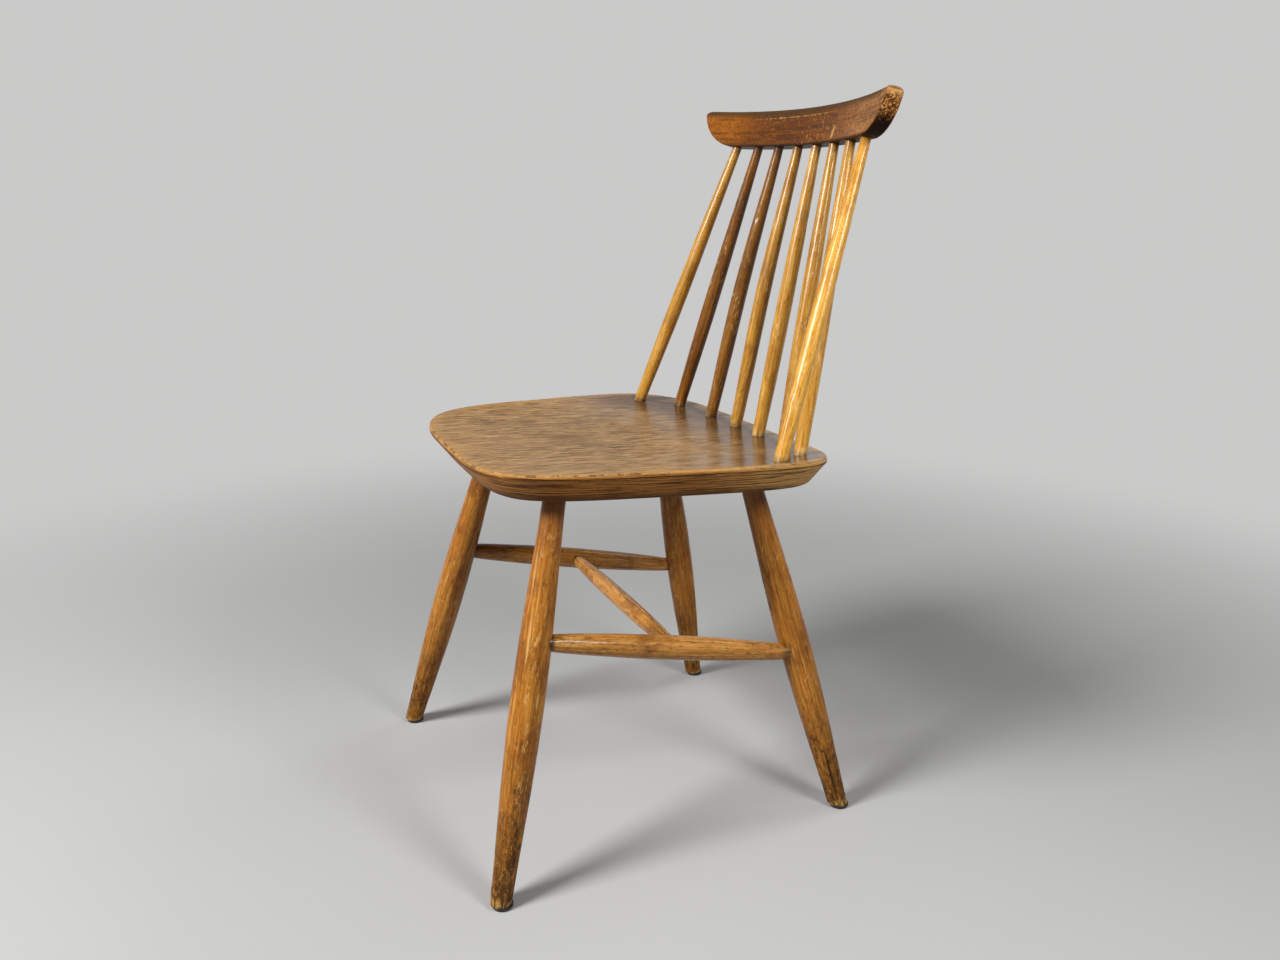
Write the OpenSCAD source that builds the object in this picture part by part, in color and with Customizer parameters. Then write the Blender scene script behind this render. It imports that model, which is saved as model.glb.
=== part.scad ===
// Spindle-back side chair: a dished laminated seat on four raked turned legs,
// braced by an H of turned stretchers, with a fan of eight spindles under a
// curved crest rail. Millimetres, Z up, front of the chair towards -Y.

/* [Seat] */
// Height of the seat's upper face above the floor at the middle of the seat
seat_h = 428; // [380:1:480]
// Width of the seat across its front corners, before they are rounded
seat_front_w = 372; // [300:1:450]
// Width of the seat across its rear corners, before they are rounded
seat_rear_w = 479; // [390:1:580]
// Depth of the seat from front edge to rear edge
seat_d = 406; // [340:1:490]
// Thickness of the laminated panel
seat_t = 30; // [24:1:38]
// Fall of the seat towards the back, in degrees
seat_fall = 2.2; // [0:0.1:5]
// Rise of the seat's sides above its middle
dish_rise = 11.5; // [0:0.5:20]
// How square the seat's front corners are: 2 is an ellipse
front_square = 4.6; // [2.6:0.1:6]
// How square the seat's rear corners are: 2 is an ellipse
rear_square = 3.35; // [2.6:0.1:6]
// Height of the upright band along the seat's upper edge
edge_band = 6; // [3:0.5:9]
// How far the bevel under the edge runs in from the outline
edge_bevel = 21; // [8:1:30]
// Radius that softens the seat's upper edge
edge_round = 2; // [1:0.5:4]

/* [Legs] */
// Diameter of a leg where it enters the seat
leg_top_d = 25; // [20:0.5:30]
// Diameter of a leg at its fullest
leg_belly_d = 36; // [30:0.5:44]
// Diameter of a leg at the floor
leg_foot_d = 22.5; // [18:0.5:28]
// Depth of a leg's socket in the seat, along the leg
leg_socket = 18; // [12:0.5:21]
// Front sockets' distance behind the seat's front edge
front_leg_set = 75; // [60:0.5:130]
// Front sockets' distance in from the side of the seat
front_leg_in = 68; // [50:1:105]
// Rear sockets' distance ahead of the seat's rear edge
rear_leg_set = 81.5; // [60:0.5:130]
// Rear sockets' distance in from the side of the seat
rear_leg_in = 104; // [75:1:135]
// Lean of a front leg to its own side, in degrees
front_splay = 12.3; // [4:0.1:16]
// Lean of a front leg to the front, in degrees
front_rake = 12.9; // [4:0.1:18]
// Lean of a rear leg to its own side, in degrees
rear_splay = 10.2; // [4:0.1:16]
// Lean of a rear leg to the back, in degrees
rear_rake = 11.5; // [4:0.1:18]

/* [Stretchers] */
// Height of the side stretchers at the front legs
side_front_h = 260; // [200:1:300]
// Height of the side stretchers at the rear legs
side_rear_h = 191; // [150:1:260]
// Diameter of a side stretcher at its fullest
side_belly_d = 27; // [22:0.5:32]
// Diameter of a side stretcher beside its tenons
side_end_d = 17.5; // [16:0.5:20]
// Diameter of a side stretcher's tenons
side_tenon_d = 16.5; // [10:0.5:17]
// Diameter of the cross stretcher at its fullest
cross_belly_d = 21; // [17:0.5:25]
// Diameter of the cross stretcher beside its tenons
cross_end_d = 14.5; // [12:0.5:17]
// Diameter of the cross stretcher's tenons
cross_tenon_d = 13; // [8:0.5:14]
// Distance that a tenon stops short of the axis of what it enters
tenon_stop = 3; // [2:0.5:5]

/* [Back] */
// Height of the crest rail's lower face above the floor, at its middle
crest_base_h = 760; // [680:1:820]
// Length of the crest rail from end to end, straight across
crest_w = 402; // [340:1:460]
// Height of the crest rail's face
crest_face_h = 45; // [36:1:60]
// Thickness of the crest rail
crest_t = 19.5; // [17:0.5:26]
// Radius of the crest rail's bend, at the middle of its thickness
crest_r = 590; // [400:2:900]
// Lean of the crest rail to the back, in degrees
back_rake = 12; // [6:0.5:18]
// Length of the curve that rounds each lower corner of the crest rail
crest_end_l = 60; // [40:1:90]
// Radius of the crest rail's upper corners
crest_corner_r = 8; // [3:0.5:12]
// Rounding of the crest rail's upper front edge
crest_front_r = 8.5; // [2:0.5:9]
// Rounding of the crest rail's upper rear edge
crest_rear_r = 7.5; // [2:0.5:8]
// Rounding of the crest rail's lower edges
crest_foot_r = 2; // [1:0.5:4]
// Distance from the crest rail's end to the outermost spindle
crest_margin = 58.5; // [50:0.5:75]
// Distance of the spindles in from the edge of the seat
spindle_in = 29.5; // [26:0.5:45]
// Diameter of a spindle where it enters the seat
spindle_foot_d = 15; // [12:0.5:18]
// Diameter of a spindle at its fullest
spindle_belly_d = 18.5; // [16:0.5:22]
// Diameter of a spindle where it enters the crest rail
spindle_top_d = 11.5; // [9:0.5:13]
// Depth of a spindle's socket in the seat
spindle_seat_socket = 15; // [10:0.5:18]
// Depth of a spindle's socket in the crest rail
spindle_crest_socket = 18; // [12:0.5:24]

/* [Glides] */
// Diameter of a glide
glide_d = 22; // [18:0.5:26]
// Thickness of a glide
glide_t = 4; // [3:0.5:6]
// How far a glide sits behind the axis of its leg
glide_back = 2; // [0:0.5:3]
// Diameter of a glide nail's shank
nail_d = 2.2; // [1.6:0.1:3]
// Diameter of a glide nail's head
nail_head_d = 6; // [4:0.5:8]
// Length of a glide nail in the leg
nail_l = 14; // [8:1:18]

/* [Fits] */
// Gap round a tenon in its socket, on the radius
socket_gap = 0.1; // [0.05:0.01:0.2]
// Gap round a nail in its hole, on the radius
nail_gap = 0.05; // [0.02:0.01:0.1]

/* [Hidden] */

// Colours of the pieces
seat_colour = [0.42, 0.31, 0.20];
leg_colour = [0.55, 0.35, 0.15];
spindle_colour = [0.70, 0.47, 0.18];
crest_colour = [0.45, 0.25, 0.12];
glide_colour = [0.06, 0.06, 0.06];
nail_colour = [0.60, 0.60, 0.58];

// Sides of the chair: the sitter's left is +X
left = 1;
right = -1;

// Fineness of circles, of the seat's outline and of the turned profiles
$fn = 48;
outline_steps = 120;
profile_steps = 14;
corner_steps = 6;
curve_steps = 16;
bend_steps = 256;

// Half the turn, in degrees, over which the outline's direction is taken
direction_turn = 0.5;

// How far a cutting shape runs past what it cuts
over = 10;

// Where each spindle stands round the seat edge, outermost first,
// as an angle from the side of the seat towards its back
spindle_angles = [23, 55.3, 77.6, 88.3];

// How the dish deepens across the seat: 2 is a plain arc, and more keeps its middle flatter
dish_power = 2.5;
// Straight length of a leg and of a spindle beside each socket
leg_straight = 8;
spindle_straight = 5;
// How sharply a turned belly rises from its ends: low is blunt, high is slender
leg_swell = 1.4;
stretcher_swell = 0.7;
spindle_swell = 1.1;
// Where a spindle is fullest, as a share of its length above the seat
spindle_belly_at = 0.38;
// Length of bare tenon that shows between a stretcher's shoulder and what it enters
tenon_show = 1;
// Rings of facets across the seat's upper and lower faces, as shares of the way out from its middle
upper_shares = [0.2, 0.4, 0.6, 0.8, 0.92];
lower_shares = [0.9, 0.7, 0.45, 0.2];
// Where the rounding of the seat's upper edge turns, as a share of its radius
round_turn = 0.3;
// The bevel's two middle lines: how far in and how far down, as shares
bevel_in = [0.62, 0.84];
bevel_down = [0.66, 0.9];
// Height of a nail head's recess in the glide, and the head's thickness
nail_recess = 1;
nail_head_t = 1;
// Chamfer round a glide's lower edge
glide_chamfer = 1;

// A number's sign times its size raised to a power
function signed_pow(v, p) = sign(v) * pow(abs(v), p);

// Half the seat's width at a share v of its depth, from -1 at the front to 1 at the rear
function seat_half_w(v) = (seat_front_w * (1 - v) + seat_rear_w * (1 + v)) / 4;

// The seat's outline in plan at angle a, from the seat's middle
function outline(a) =
    let (power = 2 / (sin(a) < 0 ? front_square : rear_square), v = signed_pow(sin(a), power))
    [seat_half_w(v) * signed_pow(cos(a), power), v * seat_d / 2];

// The outline moved in by a distance
function outline_in(a, inset) =
    let (step = outline(a + direction_turn) - outline(a - direction_turn))
    outline(a) - inset * [step.y, -step.x] / norm(step);

// Height of the seat's upper face over a point in plan
function seat_z(p) =
    let (share = abs(p.x) / seat_half_w(0))
    seat_h - p.y * tan(seat_fall) + dish_rise * pow(share, dish_power);

// A point at a depth under the seat's upper face
function under(p, depth) = [p.x, p.y, seat_z(p) - depth];

// Leg sockets: plan position of each leg's axis at the seat's lower face
function head_plan(side, front) =
    let (y = front ? front_leg_set - seat_d / 2 : seat_d / 2 - rear_leg_set)
    [side * (seat_half_w(2 * y / seat_d) - (front ? front_leg_in : rear_leg_in)), y];
function leg_head(side, front) = under(head_plan(side, front), seat_t);

// Direction of a leg, as the sideways and lengthways run of its axis for each unit that it falls
function leg_run(side, front) =
    front ? [side * tan(front_splay), -tan(front_rake)] : [side * tan(rear_splay), tan(rear_rake)];

// The point on a leg's axis at height z
function leg_at(side, front, z) =
    let (head = leg_head(side, front), run = leg_run(side, front) * (head.z - z))
    [head.x + run.x, head.y + run.y, z];
function leg_length(side, front) = norm(leg_head(side, front) - leg_at(side, front, 0));

// Radius of a turned piece at a share t of its length, between two end radii and a belly
function turned_r(t, r0, r1, belly_r, swell) =
    r0 + (r1 - r0) * t + (belly_r - (r0 + r1) / 2) * pow(max(0, sin(180 * t)), swell);
function leg_r(t) = turned_r(t, leg_foot_d / 2, leg_top_d / 2, leg_belly_d / 2, leg_swell);

// Radius of a leg where a stretcher enters it at height z
function leg_r_at(side, front, z) = leg_r(z / leg_at_top(side, front));
function leg_at_top(side, front) = leg_head(side, front).z;

// A side stretcher runs between the axes of its two legs, and the cross stretcher between the side ones
function side_start(side) = leg_at(side, true, side_front_h);
function side_end(side) = leg_at(side, false, side_rear_h);
function side_middle(side) = (side_start(side) + side_end(side)) / 2;

// Distance from a leg's or stretcher's axis, along a stretcher that enters it, to where the stretcher's
// shoulder comes clear: r is the radius that is entered, and run and grain are the directions of the two axes
function shoulder_at(r, shoulder_r, run, grain) =
    let (lean = abs(run * grain) / norm(run) / norm(grain))
    (r + shoulder_r * lean) / sqrt(1 - lean * lean) + tenon_show;
function side_shoulder(side, front) =
    let (z = front ? side_front_h : side_rear_h, grain = leg_head(side, front) - leg_at(side, front, 0))
    shoulder_at(leg_r_at(side, front, z), side_end_d / 2, side_end(side) - side_start(side), grain);
function cross_shoulder(side) =
    let (run = side_middle(left) - side_middle(right), grain = side_end(side) - side_start(side))
    shoulder_at(side_belly_d / 2, cross_end_d / 2, run, grain);

// The crest rail's own frame: its origin is the middle of its lower face
crest_foot = outline_in(90, spindle_in);
crest_y = crest_foot.y + (crest_base_h - seat_z(crest_foot)) * tan(back_rake);
crest_bend = crest_r + crest_t / 2;
function crest_point(u, v, w) = [
    u,
    crest_y + v * cos(back_rake) + w * sin(back_rake),
    crest_base_h - v * sin(back_rake) + w * cos(back_rake)
];

// Spindles are numbered from the sitter's right, 0 to 7
spindle_count = 8;
spindle_pitch = (crest_w - 2 * crest_margin) / (spindle_count - 1);
function spindle_side(i) = i < spindle_count / 2 ? right : left;
function spindle_rank(i) = min(i, spindle_count - 1 - i);
function spindle_foot(i) =
    let (p = outline_in(spindle_angles[spindle_rank(i)], spindle_in))
    under([spindle_side(i) * p.x, p.y], 0);
function spindle_head(i) =
    let (u = (i - (spindle_count - 1) / 2) * spindle_pitch)
    crest_point(u, sqrt(crest_r * crest_r - u * u) - crest_r, 0);

// The chair stands on the middle of its own box, so the seat's middle is moved along Y by this much
foot_reach = leg_foot_d / 2 * sqrt(1 + tan(front_rake) * tan(front_rake));
front_reach = leg_at(left, true, glide_t).y - foot_reach;
rear_reach = crest_point(0, crest_t / 2 - crest_rear_r, crest_face_h - crest_rear_r).y + crest_rear_r;
frame_y = -(front_reach + rear_reach) / 2;

// Moves a piece into the chair's frame
module placed() translate([0, frame_y, 0]) children();

// Puts a piece that stands along Z on the line from p towards q
module along(p, q) {
    d = q - p;
    translate(p)
        rotate([0, acos(d.z / norm(d)), atan2(d.y, d.x)])
            children();
}

// A solid of revolution whose section is a list of [radius, height] points
module turned(section) {
    first = section[0];
    last = section[len(section) - 1];
    rotate_extrude()
        polygon(concat([[0, first.y]], section, [[0, last.y]]));
}

// A round socket from a little outside p to a depth towards q
module socket(p, q, d, depth, gap, outside) {
    along(p, q)
        translate([0, 0, -outside])
            cylinder(d = d + 2 * gap, h = outside + depth);
}

// The seat's skin as rings: [share of the way out, inset, depth]
seat_rings = concat(
    [for (s = upper_shares) [s, edge_round, 0]],
    [
        [1, edge_round, 0],
        [1, edge_round * round_turn, edge_round * round_turn],
        [1, 0, edge_round],
        [1, 0, edge_band]
    ],
    [for (k = [0, 1]) [1, edge_bevel * bevel_in[k], edge_band + (seat_t - edge_band) * bevel_down[k]]],
    [[1, edge_bevel, seat_t]],
    [for (s = lower_shares) [s, edge_bevel, seat_t]]
);
function seat_ring(ring) = [
    for (k = [0 : outline_steps - 1])
        under(ring[0] * outline_in(360 * k / outline_steps, ring[1]), ring[2])
];

module seat_blank() {
    rings = len(seat_rings);
    points = concat(
        [for (ring = seat_rings) each seat_ring(ring)],
        [under([0, 0], 0), under([0, 0], seat_t)]
    );
    top_point = rings * outline_steps;
    function at(ring, k) = ring * outline_steps + k % outline_steps;
    polyhedron(points, concat(
        [for (k = [0 : outline_steps - 1]) [at(0, k + 1), at(0, k), top_point]],
        [for (j = [0 : rings - 2], k = [0 : outline_steps - 1]) [at(j, k), at(j, k + 1), at(j + 1, k + 1)]],
        [for (j = [0 : rings - 2], k = [0 : outline_steps - 1]) [at(j, k), at(j + 1, k + 1), at(j + 1, k)]],
        [for (k = [0 : outline_steps - 1]) [at(rings - 1, k), at(rings - 1, k + 1), top_point + 1]]
    ));
}

module seat() {
    color(seat_colour) placed() difference() {
        seat_blank();
        for (side = [left, right], front = [true, false]) {
            head = leg_head(side, front);
            socket(head, 2 * head - leg_at(side, front, 0), leg_top_d, leg_socket, socket_gap, over);
        }
        for (i = [0 : spindle_count - 1]) {
            foot = spindle_foot(i);
            socket(foot, 2 * foot - spindle_head(i), spindle_foot_d, spindle_seat_socket, socket_gap, over);
        }
    }
}

module leg(side, front) {
    foot = leg_at(side, front, 0);
    head = leg_head(side, front);
    length = leg_length(side, front);
    belly_l = length - leg_straight;
    section = concat(
        [[leg_r(0), -over]],
        [for (k = [0 : profile_steps]) [leg_r(k / profile_steps), belly_l * k / profile_steps]],
        [[leg_top_d / 2, length + leg_socket]]
    );
    start = side_start(side);
    end = side_end(side);
    joint = front ? start : end;
    other = front ? end : start;
    toward = joint + tenon_stop * (other - joint) / norm(other - joint);
    glide = glide_at(side, front);
    color(leg_colour) placed() difference() {
        // A quarter turn keeps the turning's start and end line clear of the lowest point of the level foot
        along(foot, head) rotate([0, 0, 90]) turned(section);
        socket(toward, other, side_tenon_d, leg_belly_d, socket_gap, 0);
        translate([foot.x, foot.y, glide_t - leg_belly_d / 2])
            cube(leg_belly_d, center = true);
        translate([glide.x, glide.y, 0])
            cylinder(d = nail_d + 2 * nail_gap, h = glide_t + nail_l);
    }
}

// A stretcher between the axes of two round pieces, with its shoulders at set distances from those axes
module stretcher(p, q, body_start, body_end, tenon_d, end_d, belly_d) {
    length = norm(q - p);
    body_l = length - body_start - body_end;
    section = concat(
        [[tenon_d / 2, tenon_stop], [tenon_d / 2, body_start]],
        [
            for (k = [0 : profile_steps])
                [
                    turned_r(k / profile_steps, end_d / 2, end_d / 2, belly_d / 2, stretcher_swell),
                    body_start + body_l * k / profile_steps
                ]
        ],
        [[tenon_d / 2, body_start + body_l], [tenon_d / 2, length - tenon_stop]]
    );
    along(p, q) turned(section);
}

module side_stretcher(side) {
    start = side_start(side);
    end = side_end(side);
    middle = side_middle(side);
    other = side_middle(-side);
    toward = middle + tenon_stop * (other - middle) / norm(other - middle);
    color(leg_colour) placed() difference() {
        stretcher(
            start, end, side_shoulder(side, true), side_shoulder(side, false),
            side_tenon_d, side_end_d, side_belly_d
        );
        socket(toward, other, cross_tenon_d, side_belly_d, socket_gap, 0);
    }
}

module cross_stretcher() {
    color(leg_colour) placed()
        stretcher(
            side_middle(right), side_middle(left), cross_shoulder(right), cross_shoulder(left),
            cross_tenon_d, cross_end_d, cross_belly_d
        );
}

// Radius of a spindle at a share t of its length
function spindle_r(t) =
    let (below = t < spindle_belly_at, end_d = below ? spindle_foot_d : spindle_top_d)
    let (s = below ? t / spindle_belly_at : (1 - t) / (1 - spindle_belly_at))
    (end_d + (spindle_belly_d - end_d) * pow(sin(90 * s), spindle_swell)) / 2;

module spindle(i) {
    foot = spindle_foot(i);
    head = spindle_head(i);
    length = norm(head - foot);
    belly_l = length - 2 * spindle_straight;
    section = concat(
        [[spindle_foot_d / 2, -spindle_seat_socket]],
        [
            for (k = [0 : profile_steps])
                [spindle_r(k / profile_steps), spindle_straight + belly_l * k / profile_steps]
        ],
        [[spindle_top_d / 2, length + spindle_crest_socket]]
    );
    color(spindle_colour) placed() along(foot, head) turned(section);
}

// Half the angle that the crest rail turns through, and the run of its bend from front to back
crest_turn = asin(crest_w / 2 / crest_r);
crest_depth = crest_bend * (1 - cos(crest_turn)) + crest_t;

// An arc of points about a centre, from one angle to another
function arc(centre, r, a0, a1) =
    [for (k = [0 : corner_steps]) let (a = a0 + (a1 - a0) * k / corner_steps) centre + r * [cos(a), sin(a)]];

// The crest rail's section: [distance from the bend's axis, height above its lower face]
crest_near = crest_r - crest_t / 2;
crest_section = concat(
    arc([crest_near + crest_foot_r, crest_foot_r], crest_foot_r, 180, 270),
    arc([crest_bend - crest_foot_r, crest_foot_r], crest_foot_r, 270, 360),
    arc([crest_bend - crest_rear_r, crest_face_h - crest_rear_r], crest_rear_r, 0, 90),
    arc([crest_near + crest_front_r, crest_face_h - crest_front_r], crest_front_r, 90, 180)
);

// The outline of the rail's left end, from inside the rail to its end at 0
crest_end = concat(
    [
        for (k = [0 : curve_steps])
            let (a = 90 * k / curve_steps)
            if (crest_face_h * (1 - cos(a)) < crest_face_h - crest_corner_r)
                [-crest_end_l * (1 - sin(a)), crest_face_h * (1 - cos(a))]
    ],
    arc([-crest_corner_r, crest_face_h - crest_corner_r], crest_corner_r, 0, 90)
);

// All that lies inside of the rail's left end
module crest_trim() {
    reach = crest_w + crest_depth;
    translate([0, -crest_r, 0])
        rotate([0, 0, -crest_turn])
            translate([0, crest_r, 0])
                rotate([90, 0, 0])
                    linear_extrude(2 * reach, center = true)
                        polygon(concat([[-reach, 0]], crest_end, [[-reach, crest_face_h]]));
}

module crest_blank() {
    intersection() {
        translate([0, -crest_r, 0])
            rotate_extrude($fn = bend_steps)
                polygon(crest_section);
        translate([-crest_w, -crest_depth, 0])
            cube([2 * crest_w, 2 * crest_depth, crest_face_h]);
        crest_trim();
        mirror([1, 0, 0]) crest_trim();
    }
}

module crest_rail() {
    color(crest_colour) placed() difference() {
        translate(crest_point(0, 0, 0))
            rotate([-back_rake, 0, 0])
                crest_blank();
        for (i = [0 : spindle_count - 1]) {
            head = spindle_head(i);
            socket(head, 2 * head - spindle_foot(i), spindle_top_d, spindle_crest_socket, socket_gap, over);
        }
    }
}

// Middle of a glide on the floor
function glide_at(side, front) = leg_at(side, front, glide_t) + [0, glide_back, -glide_t];

module glide(side, front) {
    r = glide_d / 2;
    color(glide_colour) placed() translate(glide_at(side, front)) difference() {
        turned([[r - glide_chamfer, 0], [r, glide_chamfer], [r, glide_t]]);
        translate([0, 0, -over])
            cylinder(d = nail_d + 2 * nail_gap, h = glide_t + 2 * over);
        translate([0, 0, -over])
            cylinder(d = nail_head_d + 2 * nail_gap, h = nail_recess + nail_head_t + over);
    }
}

module glide_nails() {
    color(nail_colour) placed() for (side = [left, right], front = [true, false])
        translate(glide_at(side, front))
            turned([
                [nail_head_d / 2, nail_recess],
                [nail_head_d / 2, nail_recess + nail_head_t],
                [nail_d / 2, nail_recess + nail_head_t],
                [nail_d / 2, glide_t + nail_l]
            ]);
}

seat();
leg(left, true);  // front_left_leg
leg(right, true);  // front_right_leg
leg(left, false);  // rear_left_leg
leg(right, false);  // rear_right_leg
side_stretcher(left);  // left_side_stretcher
side_stretcher(right);  // right_side_stretcher
cross_stretcher();
spindle(0);  // spindle_1
spindle(1);  // spindle_2
spindle(2);  // spindle_3
spindle(3);  // spindle_4
spindle(4);  // spindle_5
spindle(5);  // spindle_6
spindle(6);  // spindle_7
spindle(7);  // spindle_8
crest_rail();
glide(left, true);  // front_left_glide
glide(right, true);  // front_right_glide
glide(left, false);  // rear_left_glide
glide(right, false);  // rear_right_glide
glide_nails();
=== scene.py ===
import math

import bpy
import numpy as np
from mathutils import Matrix, Vector, noise


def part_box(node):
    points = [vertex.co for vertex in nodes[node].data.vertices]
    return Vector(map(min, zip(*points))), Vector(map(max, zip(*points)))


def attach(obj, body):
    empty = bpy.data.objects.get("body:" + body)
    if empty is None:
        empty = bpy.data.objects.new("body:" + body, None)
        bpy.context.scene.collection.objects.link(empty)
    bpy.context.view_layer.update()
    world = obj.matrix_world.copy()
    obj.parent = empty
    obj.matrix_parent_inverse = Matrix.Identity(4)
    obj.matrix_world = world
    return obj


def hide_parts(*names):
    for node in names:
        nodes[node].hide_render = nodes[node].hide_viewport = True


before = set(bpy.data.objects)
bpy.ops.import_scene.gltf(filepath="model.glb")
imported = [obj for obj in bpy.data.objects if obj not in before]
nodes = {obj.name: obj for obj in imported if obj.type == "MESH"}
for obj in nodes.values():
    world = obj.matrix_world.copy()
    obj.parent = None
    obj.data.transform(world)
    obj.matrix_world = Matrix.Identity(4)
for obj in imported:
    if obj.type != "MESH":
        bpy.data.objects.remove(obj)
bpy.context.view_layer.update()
print("frame loaded with", len(nodes), "nodes")


def fullTurn(count):
    return np.linspace(0, 2 * np.pi, count, endpoint=False)


def cornersOf(node):
    return np.array([list(vertex.co) for vertex in nodes[node].data.vertices])


def intoScene(name, data):
    thing = bpy.data.objects.new(name, data)
    bpy.context.scene.collection.objects.link(thing)
    return thing


def skin(rings):
    # a stack of closed rings, from one end to the other, made into one closed surface
    count, around = rings.shape[:2]
    points = np.concatenate([rings.reshape(-1, 3), rings[:1].mean(1), rings[-1:].mean(1)])
    here = np.arange(around)
    after = (here + 1) % around
    faces = []
    for row in range(count - 1):
        low, high = row * around, (row + 1) * around
        faces.append(np.stack([low + here, low + after, high + after, high + here], 1))
    first, last = count * around, count * around + 1
    top = (count - 1) * around
    caps = np.concatenate([
        np.stack([after, here, np.full(around, first)], 1),
        np.stack([top + here, top + after, np.full(around, last)], 1),
    ])
    return points, np.concatenate(faces).tolist() + caps.tolist()


def volumeOf(points, faces):
    total = 0.0
    firstHalves = np.array([face[:3] for face in faces])
    otherHalves = np.array([[face[0], face[2], face[3]] for face in faces if len(face) == 4])
    for face in (firstHalves, otherHalves):
        a, b, c = points[face[:, 0]], points[face[:, 1]], points[face[:, 2]]
        total += float(np.einsum("ij,ij->i", a, np.cross(b, c)).sum()) / 6
    return total


def makePiece(name, rings, place, finish, replaced, fields=None):
    # rings are in the piece's own axes, which its finish reads as "grain" unless fields says otherwise
    points, faces = skin(rings)
    if volumeOf(points, faces) < 0:
        faces = [face[::-1] for face in faces]
    mesh = bpy.data.meshes.new(name)
    mesh.from_pydata(points.tolist(), [], faces)
    mesh.transform(place)
    mesh.polygons.foreach_set("use_smooth", [True] * len(mesh.polygons))
    around = rings.shape[1]
    for label, values in {"grain": rings, **(fields or {})}.items():
        wide = np.ndim(values) == 3
        flat = np.asarray(values, np.float32).reshape((-1, 3) if wide else (-1, 1))
        capValues = [flat[:around].mean(0, keepdims=True), flat[-around:].mean(0, keepdims=True)]
        flat = np.concatenate([flat, *capValues])
        field = mesh.attributes.new(label, "FLOAT_VECTOR" if wide else "FLOAT", "POINT")
        field.data.foreach_set("vector" if wide else "value", flat.ravel())
    mesh.materials.append(finish)
    mesh.update()
    piece = intoScene(name, mesh)
    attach(piece, "root")
    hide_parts(replaced)
    return piece


def smooth(value, low, high):
    share = np.clip((value - low) / (high - low), 0, 1)
    return share * share * (3 - 2 * share)


def lumps(points, size, seed):
    # soft irregularity from -1 to 1 at each point, with lumps about that size
    moved = points / size + seed * 7.31
    return np.array([noise.noise(p) for p in moved.reshape(-1, 3)]).reshape(points.shape[:-1])


class Wire:
    # a shader socket, wrapped so that maths on it reads as maths
    def __init__(self, tree, socket):
        self.tree, self.socket = tree, socket

    def __add__(self, other):
        return self.tree.maths("ADD", self, other)

    def __sub__(self, other):
        return self.tree.maths("SUBTRACT", self, other)

    def __rsub__(self, other):
        return self.tree.maths("SUBTRACT", other, self)

    def __mul__(self, other):
        return self.tree.maths("MULTIPLY", self, other)

    def __truediv__(self, other):
        return self.tree.maths("DIVIDE", self, other)

    def __abs__(self):
        return self.tree.maths("ABSOLUTE", self)

    __radd__, __rmul__ = __add__, __mul__


class Tree:
    def __init__(self, tree):
        self.tree = tree
        tree.nodes.clear()

    def node(self, kind, settings=None, sockets=None, output=0):
        made = self.tree.nodes.new("ShaderNode" + kind)
        for key, value in (settings or {}).items():
            if key == "stops":
                ramp = made.color_ramp.elements
                while len(ramp) < len(value):
                    ramp.new(0.5)
                for stop, (place, shade) in zip(ramp, value):
                    stop.position, stop.color = place, (*shade, 1)
            else:
                setattr(made, key, value)
        for key, value in (sockets or {}).items():
            if isinstance(value, Wire):
                self.tree.links.new(value.socket, made.inputs[key])
            else:
                made.inputs[key].default_value = value
        return Wire(self, made.outputs[output]) if len(made.outputs) else None

    def maths(self, operation, a, b=0.0):
        return self.node("Math", {"operation": operation}, {0: a, 1: b})

    def least(self, a, b):
        return self.maths("MINIMUM", a, b)

    def most(self, a, b):
        return self.maths("MAXIMUM", a, b)

    def fade(self, value, low, high):
        # 0 at low to 1 at high, eased; high may be under low
        if low < high:
            return self.node("MapRange", {"interpolation_type": "SMOOTHSTEP"}, {0: value, 1: low, 2: high})
        return 1 - self.fade(value, high, low)

    def blend(self, a, b, amount):
        def shade(colour):
            return colour if isinstance(colour, Wire) else (*colour, 1)
        settings = {"data_type": "RGBA", "blend_type": "MIX"}
        return self.node("Mix", settings, {0: amount, 6: shade(a), 7: shade(b)}, 2)

    def stretch(self, vector, by, shift):
        return self.node("VectorMath", {"operation": "MULTIPLY_ADD"}, {0: vector, 1: by, 2: shift})

    def noise(self, vector, scale=1.0, detail=3.0, rough=0.55, twist=0.0):
        return self.node("TexNoise", {}, {
            "Vector": vector, "Scale": scale, "Detail": detail, "Roughness": rough, "Distortion": twist,
        })

    def figure(self, vector, size, detail, rough, twist=0.0, shift=(0, 0, 0)):
        # noise whose size differs along each axis, as in wood
        return self.noise(self.stretch(vector, size, shift), 1, detail, rough, twist)

    def field(self, name, output="Fac"):
        return self.node("Attribute", {"attribute_name": name}, {}, output)

    def parts(self, vector):
        return [self.node("SeparateXYZ", {}, {0: vector}, axis) for axis in range(3)]

    def shader(self, colour, rough, coat, height, depth, metallic=0.0, sheen=0.5):
        bump = self.node("Bump", {}, {"Strength": 1.0, "Distance": depth, "Height": height})
        return self.node("BsdfPrincipled", {}, {
            "Base Color": colour, "Roughness": rough, "Metallic": metallic, "Coat Weight": coat,
            "Coat Roughness": 0.16, "IOR": 1.5, "Specular IOR Level": sheen, "Normal": bump,
        })

    def surface(self, *look):
        self.node("OutputMaterial", {}, {"Surface": self.shader(*look)})


def finishNamed(name):
    material = bpy.data.materials.new(name)
    material.use_nodes = True
    return material, Tree(material.node_tree)


def tone(red, green, blue):
    # a colour as a paint chart gives it, from 0 to 255, turned into the light that it reflects
    def light(value):
        value /= 255
        return value / 12.92 if value <= 0.04045 else ((value + 0.055) / 1.055) ** 2.4
    return light(red), light(green), light(blue)


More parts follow.
